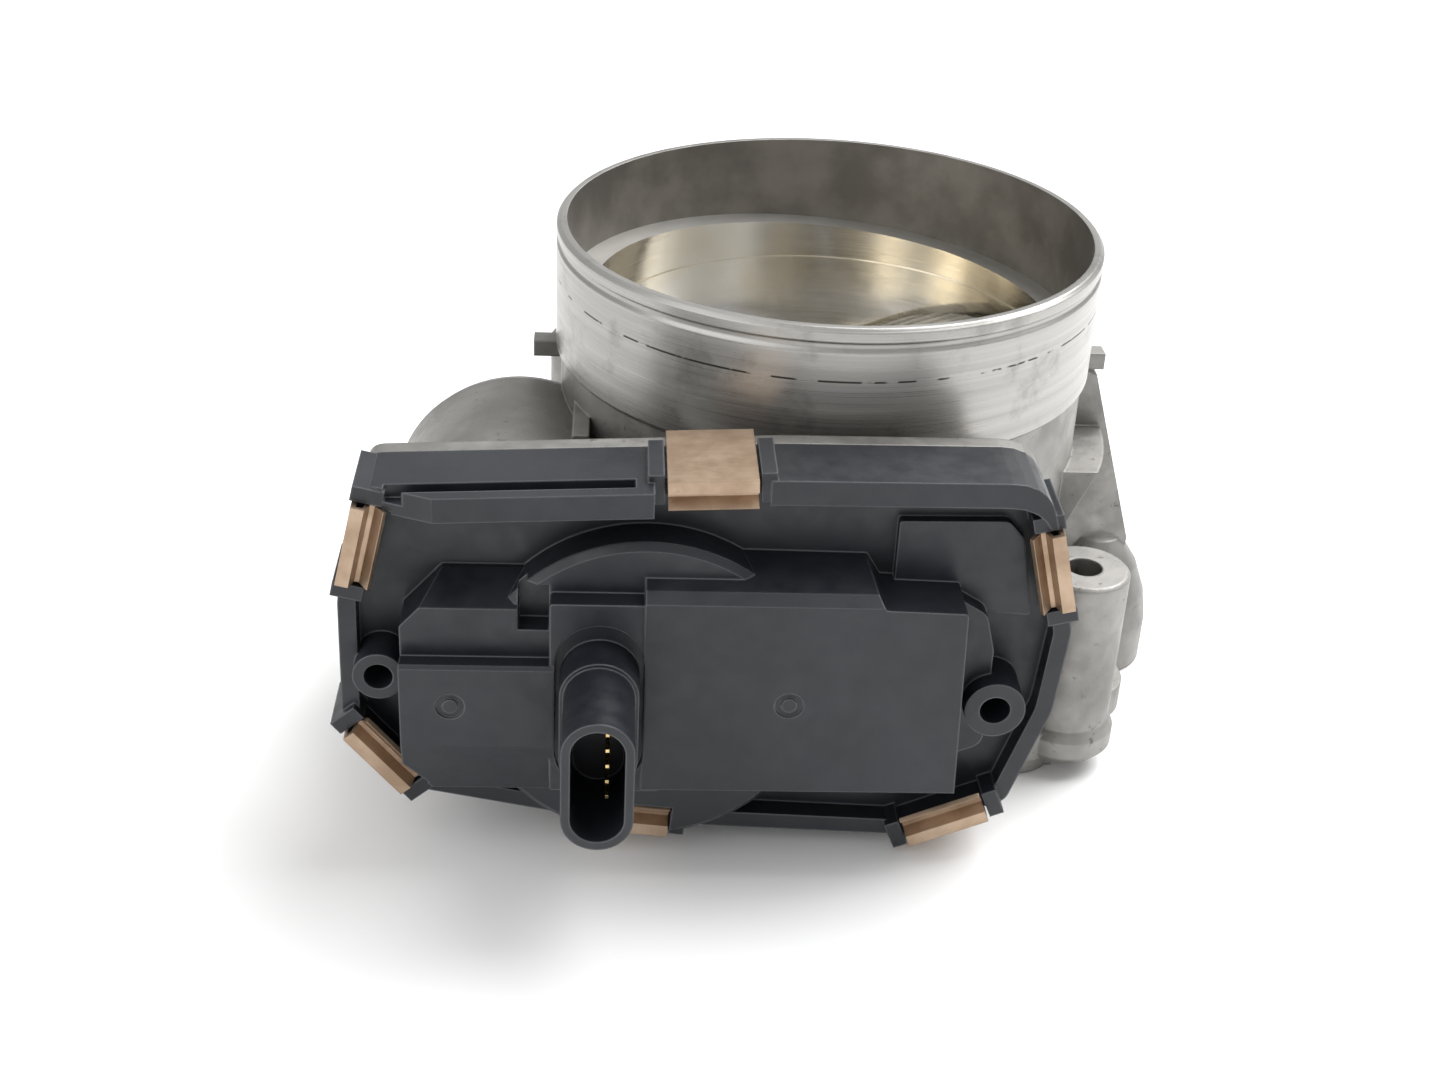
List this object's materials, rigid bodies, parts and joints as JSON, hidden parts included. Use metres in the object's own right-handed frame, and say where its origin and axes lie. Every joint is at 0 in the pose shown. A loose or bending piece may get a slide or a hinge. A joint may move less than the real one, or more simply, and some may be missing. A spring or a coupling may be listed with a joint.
{
  "type": "electronic throttle body",
  "caption": "Cast throttle body: a geared motor behind a clipped plastic cover turns a round plate in the air bore.",
  "frame": {"origin": "centre of the air bore on the engine-side flange face", "axes": "+Z along the bore towards the inlet rim; the throttle shaft, gear pin and motor run along Y; the plastic cover faces -Y; the motor is at -X"},
  "size_m": [0.158, 0.156, 0.092],
  "materials": {
    "cast_aluminium": "cast, machined on the inlet collar",
    "plate_brass_free_alloy": "swirl machined",
    "steel": "ground",
    "dark_steel": "phosphated",
    "spring_bronze": "brushed bronze strip",
    "brass": "turned",
    "copper": "enamelled winding wire",
    "gear_nylon": "moulded",
    "cover_plastic": "fine moulded grain",
    "black_plastic": "moulded",
    "board": "solder resist",
    "rubber_black": "moulded",
    "seal_orange": "silicone",
    "carbon": "pressed carbon and ferrite"
  },
  "bodies": {
    "housing_body": {"housing": "cast_aluminium", "front_bearing": "steel", "rear_bearing": "steel", "shaft_seal": "rubber_black", "rear_plug": "steel", "return_spring": "steel", "gear_pin": "steel", "motor_can": "steel", "motor_magnets": "carbon", "motor_bushes": "spring_bronze", "motor_end_plate": "black_plastic", "motor_brushes": "carbon", "motor_screws": "steel", "motor_terminals": "brass", "gear_cover": "cover_plastic", "cover_seal": "rubber_black", "cover_clips": "spring_bronze", "connector_pins": "brass", "sensor_board": "board", "sensor_chip": "black_plastic", "flange_seal": "seal_orange"},
    "throttle": {"throttle_plate": "plate_brass_free_alloy", "throttle_shaft": "steel", "plate_screws": "dark_steel", "throttle_gear": "gear_nylon", "sensor_magnet": "carbon"},
    "reduction_gear": {"intermediate_gear": "gear_nylon"},
    "rotor": {"motor_armature": "dark_steel", "motor_windings": "copper", "commutator": "copper", "motor_shaft": "steel", "motor_pinion": "brass"}
  },
  "joints": [
    {"name": "throttle_turn", "type": "hinge", "parent": "housing_body", "child": "throttle", "pos_m": [0, 0, 0.044], "axis": [0, -1, 0], "range_deg": [-27, 52], "stiffness_Nm_per_rad": 0.2},
    {"name": "reduction_turn", "type": "hinge", "parent": "housing_body", "child": "reduction_gear", "pos_m": [-0.03365, 0, 0.034], "axis": [0, -1, 0], "range_deg": [-180, 95]},
    {"name": "rotor_turn", "type": "hinge", "parent": "housing_body", "child": "rotor", "pos_m": [-0.06324, 0, 0.034], "axis": [0, -1, 0], "range_deg": [-470, 900]}
  ],
  "couplings": [
    {"joint": "reduction_turn", "follows": "throttle_turn", "ratio": -3.3333},
    {"joint": "rotor_turn", "follows": "throttle_turn", "ratio": 17.222}
  ]
}
